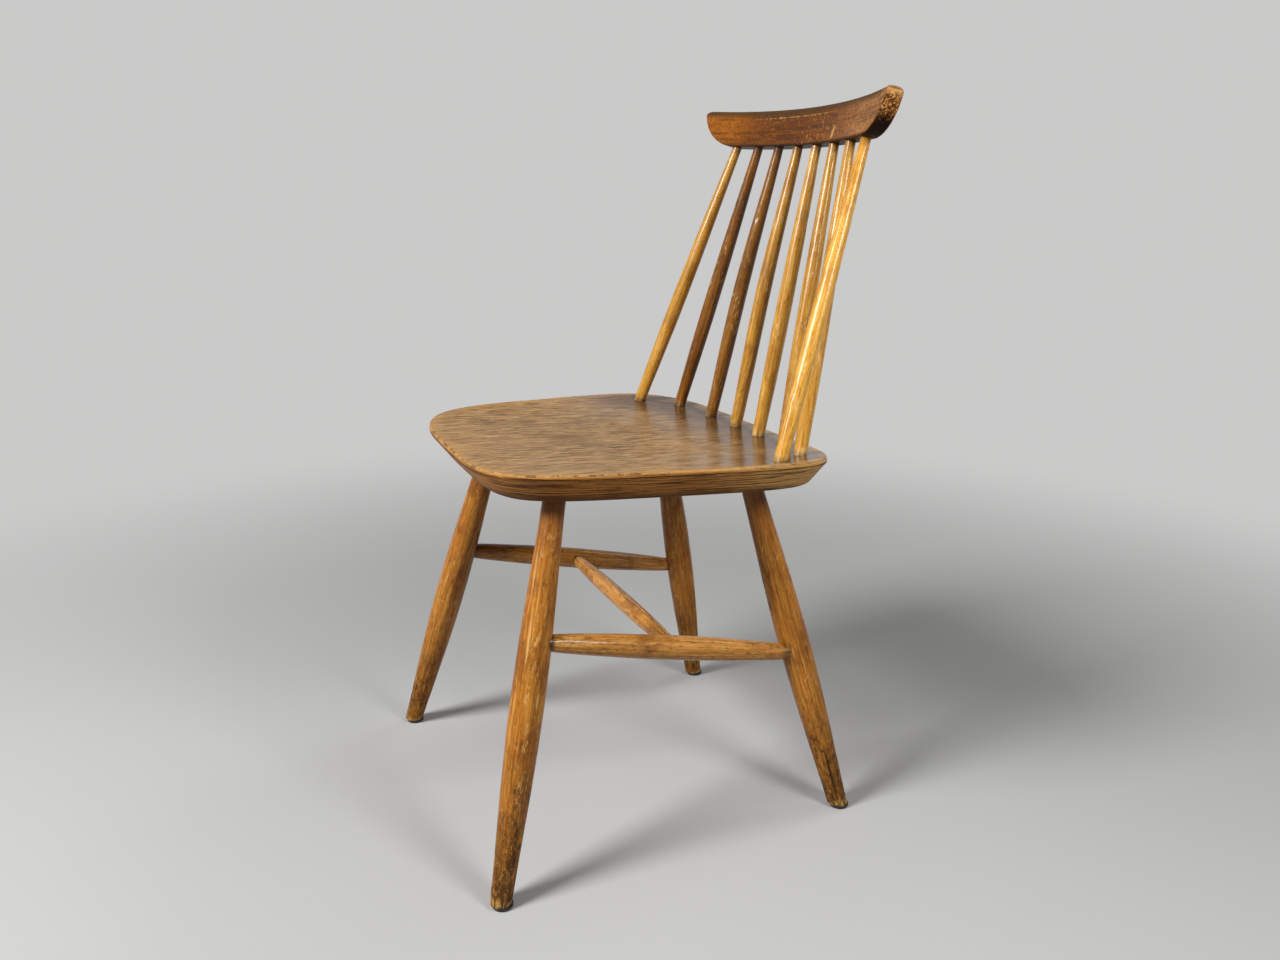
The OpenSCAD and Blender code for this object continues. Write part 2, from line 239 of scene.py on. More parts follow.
def turnedWood(name, look, seed):
    # for legs, stretchers and spindles, whose own Z runs along the grain, in metres from the start
    material, t = finishNamed(name)
    own = t.field("grain", "Vector")
    shift = (seed * 1.7, seed * 2.3, seed * 0.9)
    x, y, along = t.parts(own)
    length = look["length"]

    broad = t.figure(own, (55, 55, 4), 2, 0.5, shift=shift)
    streak = t.figure(own, (300, 300, 9), 6, 0.74, 0.1, shift=shift)
    fibre = t.figure(own, (760, 760, 40), 4, 0.7, shift=shift)
    blotch = t.figure(own, (36, 36, 22), 5, 0.65, shift=shift)
    rings = t.maths("SINE", (x * 0.8 + y * 0.6 + broad * 0.016) * look["ringPitch"])

    colour = t.blend(look["mid"], look["pale"], t.fade(streak * 0.6 + fibre * 0.4, 0.50, 0.60) * 0.7)
    colour = t.blend(colour, look["dark"], t.fade(streak * 0.6 + fibre * 0.4, 0.49, 0.40) * 0.7)
    colour = t.blend(colour, look["dark"], t.fade(rings, 0.1, 0.95) * 0.32)
    colour = t.blend(colour, look["dark"], t.fade(blotch, 0.49, 0.62) * look["blotches"])
    pores = t.fade(t.figure(own, (620, 620, 110), 2, 0.6, shift=shift), 0.58, 0.68)
    colour = t.blend(colour, look["deep"], pores * look["pores"])

    # rubbed and scratched places, where pale wood shows through the varnish as wandering upright lines
    zone = t.fade(t.figure(own, (24, 24, 9), 3, 0.6, shift=shift), 0.42, 0.58)
    wander = abs(t.figure(own, (75, 75, 16), 4, 0.62, 0.5, shift=shift) - 0.5)
    broken = t.fade(t.figure(own, (180, 180, 75), 3, 0.65, shift=shift), 0.44, 0.58)
    lines = t.fade(wander, 0.020, 0.006) * broken
    nicks = t.fade(t.figure(own, (210, 210, 110), 4, 0.7, 0.9, shift=shift), 0.65, 0.71)
    rubbed = t.least(lines * zone + nicks, 1.0) * look["scratches"]
    marked = t.field("mark")
    rubbed = t.most(rubbed, t.fade(marked + (streak - 0.5) * 0.8, 0.35, 0.75))
    colour = t.blend(colour, look["bare"], rubbed)

    # painted shade: the colour darkens towards the piece's far end, the top of a leg or spindle, under the
    # seat or the crest rail
    shelter = look["shelter"]
    topShade = t.fade(along + (blotch - 0.5) * 0.06, length - shelter, length - shelter * 0.3)
    colour = t.blend(colour, look["dark"], topShade * 0.55)

    # dark spots and worm-like marks, thicker towards the floor
    low = t.fade(along, look["grimeTop"], 0.0)
    worm = abs(t.figure(own, (200, 200, 80), 3, 0.6, 0.8, shift=shift) - 0.5)
    worm = t.fade(worm, 0.030, 0.010) * t.fade(blotch, 0.42, 0.52)
    spots = t.fade(t.figure(own, (210, 210, 90), 4, 0.75, shift=shift), 0.58, 0.64)
    spots = spots * (look["spots"] + low * look["footSpots"]) + worm * low * look["footSpots"]
    spots = t.most(spots, t.fade(marked * -1 + (blotch - 0.5) * 1.2, 0.3, 0.6))
    colour = t.blend(colour, look["deep"], t.least(spots, 0.9))

    # grime near the floor, a paler worn end, and dirt where the piece goes into another
    dusty = low * t.fade(t.figure(own, (80, 80, 34), 5, 0.7, shift=shift) + low * 0.16, 0.40, 0.66)
    colour = t.blend(colour, look["grime"], dusty * look["footGrime"])
    flecks = t.fade(t.figure(own, (330, 330, 150), 3, 0.7, 0.5, shift=shift), 0.56, 0.62)
    colour = t.blend(colour, look["pale"], flecks * low * 0.45)
    tip = t.fade(along + (blotch - 0.5) * 0.02, look["paleTip"], look["paleTip"] * 0.4)
    colour = t.blend(colour, look["bare"], tip * t.fade(streak, 0.40, 0.56) * 0.7)
    joint = t.most(t.fade(along, look["startJoint"] + 0.006, look["startJoint"]),
                   t.fade(along, length - look["endJoint"] - 0.012, length - look["endJoint"]))
    colour = t.blend(colour, look["deep"], joint * t.fade(blotch, 0.25, 0.5) * look["jointDirt"])

    rough = look["rough"] + rubbed * 0.25 + dusty * 0.25 + (streak - 0.5) * 0.2
    rough = rough + t.fade(blotch, 0.5, 0.8) * 0.12
    coat = (1 - t.least(rubbed + dusty + spots, 1.0)) * look["coat"]
    height = fibre * 0.3 + streak * 0.45 - rubbed * 0.6 - spots * 0.7 + blotch * 0.5 - pores * 0.3
    t.surface(colour, rough, coat, height, look["relief"], 0.0, look["sheen"])
    return material


def makeTurned(node, rings, place, look, seed, marks):
    finish = turnedWood(node + "Wood", look, seed)
    return makePiece(node.replace("_", "-") + "-turned", rings, place, finish, node, {"mark": marks})


def axisOf(node):
    # the ends of a turned piece's axis, from the middles of its end faces
    points = np.unique(np.round(cornersOf(node), 7), axis=0)
    middle = points.mean(0)
    direction = np.linalg.svd(points - middle, full_matrices=False)[2][0]
    for _ in range(8):
        reach = (points - middle) @ direction
        start = points[reach < reach.min() + 1e-4].mean(0)
        end = points[reach > reach.max() - 1e-4].mean(0)
        direction = (end - start) / np.linalg.norm(end - start)
    return Vector(start), Vector(end)


def lowEndFirst(node):
    return sorted(axisOf(node), key=lambda end: end.z)


def standing(start, end, facing):
    # a place whose origin is start, whose Z runs to end, and whose X leans towards facing
    z = (end - start).normalized()
    x = (facing - z * facing.dot(z)).normalized()
    y = z.cross(x)
    return Matrix([(x[row], y[row], z[row], start[row]) for row in range(3)] + [(0, 0, 0, 1)])


def bulge(share, first, last, belly, swell):
    extra = belly - (first + last) / 2
    return first + (last - first) * share + extra * np.maximum(0, np.sin(np.pi * share)) ** swell


def turnedRings(heights, radii, values, seed):
    turn = fullTurn(values["around"])
    level = np.broadcast_to(heights[:, None], (len(radii), len(turn)))
    rings = np.stack([radii[:, None] * np.cos(turn), radii[:, None] * np.sin(turn), level], 2)
    change = values["wobble"] * lumps(rings * (1, 1, 0.35), 0.012, seed)
    random = np.random.default_rng(seed + 11)
    for _ in range(values["dents"]):
        at, angle = random.uniform(heights[0], heights[-1]), random.uniform(0, 2 * np.pi)
        wide, long = random.uniform(0.0008, 0.0022), random.uniform(0.0015, 0.006)
        deep = random.uniform(0.00012, 0.0004)
        change -= deep * np.exp(-(arcFrom(turn, angle, radii) / wide) ** 2 - ((level - at) / long) ** 2)
    grow = 1 + change / np.maximum(radii[:, None], 1e-4)
    rings[..., 0] *= grow
    rings[..., 1] *= grow
    return rings


def arcFrom(turn, angle, radii):
    # distance round a turned piece from the line at an angle
    return np.angle(np.exp(1j * (turn - angle)))[None, :] * radii[:, None]


def marksOn(marks, heights, radii, around):
    # a field of chosen marks, below 0 for dark ones and above 0 for bare ones
    turn = fullTurn(around)
    field = np.zeros((len(heights), around))
    for at, degrees, long, wide, strength in marks:
        across = arcFrom(turn, math.radians(degrees), radii) / wide
        field += strength * np.exp(-(across ** 2 + ((heights[:, None] - at) / long) ** 2))
    return field


legs = {
    "seed": 1, "topWidth": 0.025, "bellyWidth": 0.036, "footWidth": 0.0225, "swell": 1.4,
    "straight": 0.008, "socket": 0.018, "around": 96, "rows": 240, "wobble": 0.0002, "dents": 60,
    # the worn rim of the foot: how far in and how far up each ring of it is, and how far up its edge
    "footStart": 0.004, "rim": [(0.0016, 0.0), (0.0009, 0.0002), (0.0004, 0.0007)], "rimEdge": 0.0014,
    "rimWear": 0.8, "footGrime": {
        "front_left_leg": 0.85, "front_right_leg": 0.5, "rear_left_leg": 0.75, "rear_right_leg": 0.5,
    },
    # each mark: height, degrees from the left side towards the back, half length, half width, strength
    "marks": {
        "front_left_leg": [
            (0.345, -62, 0.050, 0.0028, 0.6), (0.275, -45, 0.035, 0.0022, 0.7),
            (0.215, 12, 0.012, 0.0026, 0.8), (0.175, -25, 0.028, 0.0060, -0.36),
            (0.065, 35, 0.004, 0.0020, -0.9), (0.020, -60, 0.016, 0.0050, -0.5),
            (0.130, -5, 0.030, 0.0018, 0.6),
        ],
        "front_right_leg": [
            (0.300, -60, 0.050, 0.0030, 0.35), (0.110, -35, 0.030, 0.0030, 0.45),
            (0.034, 0, 0.005, 0.0100, -0.45),
        ],
        "rear_left_leg": [
            (0.292, -98, 0.010, 0.0022, -1.0), (0.262, -92, 0.006, 0.0020, -0.9),
            (0.310, 48, 0.008, 0.0020, 0.8), (0.120, 15, 0.022, 0.0024, 0.55),
            (0.045, -20, 0.036, 0.0016, -1.0), (0.190, -10, 0.030, 0.0020, 0.5),
        ],
        "rear_right_leg": [(0.210, -20, 0.040, 0.0030, 0.4), (0.150, -75, 0.050, 0.0060, -0.45)],
    },
    "look": {
        "pale": tone(202, 144, 62), "mid": tone(174, 110, 34), "dark": tone(116, 62, 15),
        "deep": tone(42, 21, 8), "bare": tone(208, 162, 94), "grime": tone(56, 36, 16),
        "ringPitch": 1300, "pores": 0.5, "blotches": 0.6, "scratches": 0.75, "spots": 0.2,
        "footSpots": 0.85, "grimeTop": 0.19,
        "paleTip": 0.013, "startJoint": -0.05, "endJoint": 0.018, "jointDirt": 0.75, "shelter": 0.11,
        "rough": 0.34, "coat": 0.2, "relief": 0.0005, "sheen": 0.14,
    },
}


def makeLeg(node, seed):
    top = lowEndFirst(node)[1]
    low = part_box(node)[0]
    points = cornersOf(node)
    sole = points[points[:, 2] < low.z + 5e-5]
    foot = Vector((sole.min(0) + sole.max(0)) / 2)
    axis = (top - foot).normalized()
    floor = foot - axis * (low.z / axis.z)  # where the axis meets the floor
    place = standing(floor, top, Vector((1, 0, 0)))
    length = (top - floor).length
    belly = length - legs["socket"] - legs["straight"]
    share = np.linspace(0, 1, legs["rows"])
    heights = legs["footStart"] + share * (length - legs["footStart"])
    widths = [legs[name] / 2 for name in ("footWidth", "topWidth", "bellyWidth")]
    radii = bulge(np.minimum(heights / belly, 1), *widths, legs["swell"])
    rings = turnedRings(heights, radii, legs, seed)
    # the foot is cut level with the floor, and its worn rim is rounded
    z = place.to_3x3() @ Vector((0, 0, 1))
    xz, yz = (place.to_3x3() @ Vector((1, 0, 0))).z, (place.to_3x3() @ Vector((0, 1, 0))).z
    cut = (low.z - floor.z - rings[0, :, 0] * xz - rings[0, :, 1] * yz) / z.z
    reach = length - cut
    rings[..., 2] = cut[None, :] + share[:, None] * reach[None, :]
    worn = 1 + legs["rimWear"] * lumps(rings[0], 0.006, seed + 3)
    rimRings = []
    for inset, up in legs["rim"]:
        ring = rings[0].copy()
        radius = np.hypot(ring[:, 0], ring[:, 1])
        ring[:, :2] *= (1 - inset * worn / radius)[:, None]
        ring[:, 2] += up * worn
        rimRings.append(ring)
    rings[0, :, 2] += legs["rimEdge"] * worn
    marks = marksOn(legs["marks"][node], heights, radii, legs["around"])
    marks = np.concatenate([marks[:1]] * len(rimRings) + [marks])
    rings = np.concatenate([np.array(rimRings), rings])
    look = dict(legs["look"], length=length, footGrime=legs["footGrime"][node])
    return makeTurned(node, rings, place, look, seed, marks)


for seed, node in enumerate(legs["marks"], legs["seed"]):
    makeLeg(node, seed)
print("legs made")


stretchers = {
    "side": {"end": 0.0175, "belly": 0.027},
    "cross": {"end": 0.0145, "belly": 0.021},
    "seed": 21, "swell": 0.7, "around": 80, "rows": 170, "wobble": 0.00015, "dents": 34,
    # each mark: distance from the start, degrees round from the top towards the sitter's right or the front
    "marks": {
        "cross_stretcher": [(0.090, -80, 0.010, 0.0035, -0.9), (0.265, -80, 0.006, 0.0035, -0.9)],
        "left_side_stretcher": [(0.300, 60, 0.012, 0.0020, 0.6)],
    },
    "look": {
        "pale": tone(224, 172, 98), "mid": tone(192, 130, 54), "dark": tone(128, 76, 26),
        "deep": tone(42, 22, 9), "bare": tone(214, 172, 116), "grime": tone(96, 74, 48), "ringPitch": 1500,
        "pores": 0.55, "blotches": 0.65, "scratches": 0.5, "spots": 0.5, "footSpots": 0.0,
        "grimeTop": 0.0001, "footGrime": 0.0,
        "paleTip": 0.0001, "startJoint": 0.016, "endJoint": 0.016, "jointDirt": 0.85, "shelter": 0.0001,
        "rough": 0.26, "coat": 0.28, "relief": 0.0004, "sheen": 0.14,
    },
}


def makeStretcher(node, kind, seed):
    start, end = axisOf(node)
    place = standing(start, end, Vector((0, 0, 1)))
    length = (end - start).length
    size = stretchers[kind]
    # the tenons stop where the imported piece's first and last shoulders stand
    z = (end - start).normalized()
    reaches = sorted({round((v.co - start).dot(z), 5) for v in nodes[node].data.vertices})
    first, last = reaches[1], reaches[-2]
    body = np.linspace(first, last, stretchers["rows"])
    share = (body - first) / (last - first)
    radii = bulge(share, size["end"] / 2, size["end"] / 2, size["belly"] / 2, stretchers["swell"])
    heights = np.concatenate([[0.0003, first / 2], body, [(last + length) / 2, length - 0.0003]])
    radii = np.concatenate([radii[:1]] * 2 + [radii] + [radii[-1:]] * 2)
    rings = turnedRings(heights, radii, stretchers, seed)
    marks = marksOn(stretchers["marks"].get(node, []), heights, radii, stretchers["around"])
    look = dict(stretchers["look"], length=length, startJoint=first, endJoint=length - last)
    return makeTurned(node, rings, place, look, seed, marks)


stretcherKinds = {"left_side_stretcher": "side", "right_side_stretcher": "side", "cross_stretcher": "cross"}
for seed, (node, kind) in enumerate(stretcherKinds.items(), stretchers["seed"]):
    makeStretcher(node, kind, seed)
print("stretchers made")


spindles = {
    "seed": 41, "foot": 0.015, "belly": 0.0185, "top": 0.0115,
    "fullest": 0.38, "swell": 1.1, "straight": 0.005,
    "inSeat": 0.015, "inCrest": 0.018, "around": 56, "rows": 170, "wobble": 0.0001, "dents": 14,
    "bows": {"spindle_3": 0.0030, "spindle_4": 0.0032},
    # how much painted shade each one's colours take, from the sitter's right; the far ones are painted
    # darker
    "spindleShade": [0.3, 0.95, 0.85, 0.35, 0.2, 0.35, 0.3, 0.0],
    "look": {
        "pale": tone(242, 196, 108), "mid": tone(216, 158, 58), "dark": tone(160, 102, 28),
        "deep": tone(66, 36, 12), "bare": tone(236, 204, 150), "grime": tone(104, 82, 54),
        "ringPitch": 1700, "pores": 0.35, "blotches": 0.5, "scratches": 0.4, "spots": 0.2, "footSpots": 0.3,
        "grimeTop": 0.05, "footGrime": 0.0,
        "paleTip": 0.024, "startJoint": 0.0155, "endJoint": 0.018, "jointDirt": 0.6, "shelter": 0.035,
        "rough": 0.24, "coat": 0.3, "relief": 0.0003, "sheen": 0.14,
    },
    # darker copies of the spindle colours, used for the painted shade
    "shadedTones": {"pale": tone(160, 104, 38), "mid": tone(122, 72, 18), "dark": tone(74, 38, 9)},
}


def makeSpindle(node, spindleShade, seed):
    start, end = lowEndFirst(node)
    place = standing(start, end, Vector((0, -1, 0)))
    length = (end - start).length
    straight = spindles["straight"]
    body = length - spindles["inSeat"] - spindles["inCrest"] - 2 * straight
    heights = np.linspace(0, length, spindles["rows"])
    share = np.clip((heights - spindles["inSeat"] - straight) / body, 0, 1)
    fullest = spindles["fullest"]
    lower = share < fullest
    near = np.where(lower, share / fullest, (1 - share) / (1 - fullest))
    endWidth = np.where(lower, spindles["foot"], spindles["top"])
    radii = (endWidth + (spindles["belly"] - endWidth) * np.sin(np.pi / 2 * near) ** spindles["swell"]) / 2
    rings = turnedRings(heights, radii, spindles, seed)
    bow = spindles["bows"].get(node, 0.0) * np.sin(np.pi * np.clip(share, 0, 1)) ** 1.5
    rings[..., 0] += bow[:, None]
    look = dict(spindles["look"], length=length)
    # painted shade: the colours are mixed towards the darker copies
    for shade, old in spindles["shadedTones"].items():
        look[shade] = tuple(new + (shadedValue - new) * spindleShade for new, shadedValue in zip(look[shade], old))
    return makeTurned(node, rings, place, look, seed, np.zeros(rings.shape[:2]))


for number, spindleShade in enumerate(spindles["spindleShade"]):
    makeSpindle(f"spindle_{number + 1}", spindleShade, number + spindles["seed"])
print("spindles made")


seat = {
    "frontWidth": 0.372, "rearWidth": 0.479, "depth": 0.406, "thickness": 0.030,
    "height": 0.428, "fall": 2.2, "rise": 0.0115, "risePower": 2.5, "frontSquare": 4.6, "rearSquare": 3.35,
    "edgeRound": 0.002, "edgeBand": 0.006, "bevelIn": 0.021, "inside": 0.0001,
    # shares of the way out to the edge at which the faces have rings, closer together near the edge
    "topShares": [*np.linspace(0.02, 0.66, 22), *np.linspace(0.675, 0.995, 34)],
    "underShares": (0.99, 0.97, 0.93, 0.87, 0.8, 0.72, 0.6, 0.45, 0.3, 0.15, 0.03),
    # how far in the bevel has come at shares of its depth
    "bevelCurve": ([0, 0.66, 0.9, 1], [0, 0.62, 0.84, 0.97]), "around": 760, "wave": 0.00025,
    "lipKnocks": 0.0004, "sideKnocks": 0.00035,
    "plyPitch": 2300, "relief": 0.0005, "sheen": 0.07, "gloss": 0.3,
    # stains: place across and from front to back, half width, half length, strength
    "stains": [
        (-0.020, -0.060, 0.022, 0.040, 0.75), (-0.045, -0.100, 0.016, 0.030, 0.4),
        (-0.066, -0.040, 0.003, 0.006, 1.0), (-0.030, 0.020, 0.014, 0.036, 0.4),
        (0.060, -0.110, 0.012, 0.030, 0.3), (-0.100, 0.000, 0.010, 0.050, 0.3),
    ],
    # chips out of the lip: place across and from front to back, reach, depth
    "chips": [
        (0.012, -0.203, 0.0035, 0.0016), (-0.110, -0.190, 0.0030, 0.0010), (0.190, -0.060, 0.0040, 0.0008),
        (0.205, 0.030, 0.0030, 0.0009), (0.214, 0.100, 0.0050, 0.0010), (0.150, -0.185, 0.0045, 0.0008),
    ],
    "colours": {
        "worn": tone(158, 122, 78), "pale": tone(196, 160, 114), "golden": tone(180, 134, 76),
        "dark": tone(98, 70, 42), "varnish": tone(84, 50, 20), "deep": tone(38, 22, 11),
        "grey": tone(124, 98, 68), "lip": tone(190, 142, 78), "edge": tone(220, 170, 100),
        "edgeRed": tone(176, 114, 52), "edgeDark": tone(40, 22, 10),
        "scratch": tone(214, 186, 144), "under": tone(150, 104, 56),
    },
}


def signedPower(value, power):
    return np.sign(value) * np.abs(value) ** power


def seatOutline(turn):
    power = 2 / np.where(np.sin(turn) < 0, seat["frontSquare"], seat["rearSquare"])
    share = signedPower(np.sin(turn), power)
    half = (seat["frontWidth"] * (1 - share) + seat["rearWidth"] * (1 + share)) / 4
    return np.stack([half * signedPower(np.cos(turn), power), share * seat["depth"] / 2], -1)


def evenOutline(count):
    # the outline at even steps along its length, and the direction that points in
    dense = seatOutline(np.linspace(0, 2 * np.pi, 400001))
    run = np.concatenate([[0], np.cumsum(np.linalg.norm(np.diff(dense, axis=0), axis=1))])
    want = np.linspace(0, run[-1], count, endpoint=False)
    line = np.stack([np.interp(want, run, dense[:, axis]) for axis in (0, 1)], 1)
    step = np.roll(line, -1, 0) - np.roll(line, 1, 0)
    inward = np.stack([-step[:, 1], step[:, 0]], 1) / np.linalg.norm(step, axis=1)[:, None]
    return line, inward


def seatTop(plan):
    # height of the seat's upper face over plan points, above the seat's middle
    half = (seat["frontWidth"] + seat["rearWidth"]) / 4
    share = np.abs(plan[..., 0]) / half
    return seat["rise"] * share ** seat["risePower"] - plan[..., 1] * math.tan(math.radians(seat["fall"]))


def makeSeat():
    low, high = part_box("seat")
    middle = Vector((0, (low.y + high.y) / 2, seat["height"]))
    line, inward = evenOutline(seat["around"])
    line = line + inward * seat["inside"]
    rounding, band, bevel, thick = seat["edgeRound"], seat["edgeBand"], seat["bevelIn"], seat["thickness"]
    steps = []  # share of the way out, inset, depth
    for share in seat["topShares"]:
        steps.append((share, rounding, 0))
    for angle in np.linspace(0, np.pi / 2, 8):
        steps.append((1, rounding * (1 - np.sin(angle)), rounding * (1 - np.cos(angle))))
    for depth in np.linspace(rounding, band, 4)[1:]:
        steps.append((1, 0, depth))
    for depth in np.linspace(0, 1, 18)[1:-1]:
        steps.append((1, bevel * np.interp(depth, *seat["bevelCurve"]), band + (thick - band) * depth))
    steps += [(1, bevel, thick - 0.0004), (1, bevel + 0.001, thick)]
    for share in seat["underShares"]:
        steps.append((share, bevel, thick))
    rings, depths, edges = [], [], []
    for share, inset, depth in steps:
        plan = share * (line + inward * inset)
        rings.append(np.concatenate([plan, (seatTop(plan) - depth)[:, None]], 1))
        depths.append(np.full(len(plan), depth))
        edges.append(np.linalg.norm(line - plan, axis=1))
    rings, depths, edges = np.array(rings), np.array(depths), np.array(edges)

    ends = [lowEndFirst(f"spindle_{number + 1}") for number in range(len(spindles["spindleShade"]))]
    feet, heads = (np.array([list(pair[end] - middle) for pair in ends]) for end in (0, 1))
    rise = heads - feet
    feet = feet + rise / np.linalg.norm(rise, axis=1)[:, None] * spindles["inSeat"]
    gaps = np.linalg.norm(rings[:, :, None, :2] - feet[None, None, :, :2], axis=3).min(2)

    # slow waves and small knocks, so that light doesn't run over it too cleanly
    rings[..., 2] += seat["wave"] * lumps(rings * (1, 0.55, 1), 0.045, 5) * (depths < thick * 0.9)
    rough = lumps(rings, 0.007, 9) + 0.6 * lumps(rings, 0.0035, 12)
    nearLip = np.exp(-((edges - 0.0015) / 0.003) ** 2) * (depths < 0.008)
    rings[..., 2] -= seat["lipKnocks"] * np.maximum(0, rough) * nearLip
    side = (depths > 0.0015) & (depths < thick - 0.0005)
    rings[..., :2] += inward[None] * (seat["sideKnocks"] * np.maximum(0, rough - 0.15) * side)[..., None]
    for across, back, reach, deep in seat["chips"]:
        gone = np.exp(-((rings[..., 0] - across) ** 2 + (rings[..., 1] - back) ** 2) / reach ** 2)
        gone = deep * gone * np.exp(-((edges + depths) / 0.004) ** 2)
        rings[..., 2] -= gone
        rings[..., :2] += inward[None] * gone[..., None]
    stains = np.zeros_like(depths)
    for across, back, wide, long, strength in seat["stains"]:
        aside, beyond = (rings[..., 0] - across) / wide, (rings[..., 1] - back) / long
        stains += strength * np.exp(-aside ** 2 - beyond ** 2)
    behind = rings[..., 1] - np.interp(rings[..., 0], feet[:, 0], feet[:, 1])
    place = Matrix.Translation(middle)
    fields = {
        "depthDown": depths, "fromEdge": edges, "fromSpindle": gaps, "stain": stains, "behind": behind,
    }
    return makePiece("seat-panel", rings, place, seatFinish(), "seat", fields)


def seatFinish():
    material, t = finishNamed("wornSeat")
    c = seat["colours"]
    own = t.field("grain", "Vector")
    x, y, z = t.parts(own)
    depth, edge, spindle = t.field("depthDown"), t.field("fromEdge"), t.field("fromSpindle")
    stain, behind = t.field("stain"), t.field("behind")
    top = t.fade(depth, 0.0024, 0.0010)
    under = t.fade(depth, 0.0292, 0.0299)

    # grain of the face veneer runs from front to back
    warp = t.noise(own, 8, 3, 0.5)
    lean = t.node("CombineXYZ", {}, {0: x + (warp - 0.5) * 0.006, 1: y, 2: z})
    broad = t.figure(lean, (40, 9, 10), 4, 0.6, 0.3)
    streak = t.figure(lean, (170, 14, 10), 6, 0.74, 0.1, shift=(3, 1, 0))
    fibre = t.figure(lean, (400, 30, 10), 5, 0.74, shift=(7, 2, 0))
    strokes = t.fade(t.figure(lean, (290, 34, 10), 4, 0.72, 0.2, shift=(1, 5, 0)), 0.55, 0.61)
    cloud = t.figure(own, (15, 11, 8), 5, 0.62, shift=(2, 4, 0))
    mottle = t.figure(own, (70, 30, 8), 5, 0.68, shift=(5, 4, 0))

    face = t.blend(c["worn"], c["golden"], t.fade(edge + (cloud - 0.5) * 0.12, 0.075, 0.012) * 0.55)
    face = t.blend(face, c["grey"], t.fade(cloud * 0.6 + mottle * 0.4, 0.54, 0.42) * 0.5)
    face = t.blend(face, c["dark"], t.fade(streak * 0.5 + fibre * 0.5, 0.50, 0.44) * 0.6)
    face = t.blend(face, c["pale"], t.fade(streak * 0.35 + fibre * 0.65, 0.50, 0.565) * 0.65)
    face = t.blend(face, c["dark"], t.fade(mottle * 0.6 + broad * 0.4, 0.50, 0.62) * 0.5)
    face = t.blend(face, c["deep"], strokes * 0.5)
    smudge = t.fade(stain + (mottle - 0.5) * 1.1 + (streak - 0.5) * 0.9, 0.25, 0.85)
    face = t.blend(face, c["varnish"], smudge * 0.62)
    marks = t.fade(t.figure(own, (150, 60, 5), 3, 0.6, shift=(4, 8, 0)), 0.68, 0.72)
    face = t.blend(face, c["deep"], marks * 0.6)

    # varnish stays whole among the spindles, where the colour is also darkened as painted shade; a dark
    # band along the row is a painted shadow and a paler grey strip behind it is a painted sheen
    wholeVarnishAndShade = t.fade(spindle + (cloud - 0.5) * 0.05 + (streak - 0.5) * 0.04, 0.085, 0.024)
    wholeVarnishAndShade = wholeVarnishAndShade * t.fade(edge, 0.003, 0.014)
    face = t.blend(face, c["varnish"], wholeVarnishAndShade * 0.8)
    # painted shadow: a dark band along the spindle row, at the spindles' feet
    shade = t.fade(abs(behind - 0.003 + (mottle - 0.5) * 0.006), 0.012, 0.003)
    face = t.blend(face, c["deep"], shade * t.fade(spindle, 0.045, 0.02) * 0.6)
    # painted sheen: a paler grey strip on the deck behind the spindle row
    paintedSheenStrip = t.fade(behind + (mottle - 0.5) * 0.006, 0.010, 0.015) * t.fade(streak, 0.36, 0.5)
    face = t.blend(face, c["grey"], paintedSheenStrip * 0.7)
    ring = t.fade(spindle, 0.0125, 0.0085)
    face = t.blend(face, c["deep"], ring * 0.75)

    # the lip is rubbed down to bright wood, most of all at the sitter's left and in front
    patchy = t.figure(own, (48, 48, 20), 5, 0.7)
    rubbedMost = t.fade(x * 0.9 - y * 0.5, -0.06, 0.14)
    rimTop = t.fade(edge + (patchy - 0.5) * 0.008, 0.0032, 0.0012)
    lipTop = rimTop * t.fade(patchy * 0.5 + broad * 0.5, 0.48, 0.54) * (0.15 + rubbedMost * 0.6)
    face = t.blend(face, c["golden"], t.fade(edge + (streak - 0.5) * 0.05, 0.014, 0.004) * 0.5)
    gaps = t.fade(edge, 0.0030, 0.0012) * t.fade(t.figure(own, (70, 70, 20), 4, 0.7), 0.48, 0.54)
    face = t.blend(face, c["dark"], gaps * 0.85)
    face = t.blend(face, c["lip"], lipTop)

    # plies show as fine level lines along the edge, some pale and some dark
    level = t.node("CombineXYZ", {}, {0: x * 16, 1: y * 16, 2: depth * 900})
    fine = t.noise(level, 1, 5, 0.75, 0.2)
    plies = t.maths("SINE", (depth + (patchy - 0.5) * 0.0012) * seat["plyPitch"])
    dashes = t.noise(t.node("CombineXYZ", {}, {0: x * 50, 1: y * 50, 2: depth * 1300}), 1, 4, 0.7)
    back = t.fade(y + (t.noise(own, 16, 3, 0.6) - 0.5) * 0.2, -0.02, 0.16)
    edgeTone = t.blend(c["edgeRed"], c["edge"], back)
    edgeTone = t.blend(edgeTone, c["edgeDark"], t.fade(plies, 0.1, 0.9) * 0.4)
    edgeTone = t.blend(edgeTone, c["edgeDark"], t.fade(fine, 0.51, 0.43) * 0.85)
    edgeTone = t.blend(edgeTone, c["lip"], t.fade(fine * 0.6 + dashes * 0.4, 0.52, 0.60) * 0.6)
    edgeTone = t.blend(edgeTone, c["edgeDark"], t.fade(depth, 0.018, 0.030) * (1 - back * 0.6) * 0.8)
    lipSide = t.fade(depth + (patchy - 0.5) * 0.004, 0.0040, 0.0020)
    rubbedSide = lipSide * t.fade(dashes * 0.5 + patchy * 0.5, 0.46, 0.54) * (0.15 + rubbedMost * 0.55)
    edgeTone = t.blend(edgeTone, c["lip"], rubbedSide)
    seam = t.fade(abs(depth - 0.0052 + (patchy - 0.5) * 0.0012), 0.0010, 0.0003)
    edgeTone = t.blend(edgeTone, c["edgeDark"], seam * 0.8)
    scores = t.fade(t.figure(own, (55, 160, 260), 4, 0.7, 1.2, shift=(6, 6, 6)), 0.66, 0.71)
    edgeTone = t.blend(edgeTone, c["scratch"], scores * 0.55)

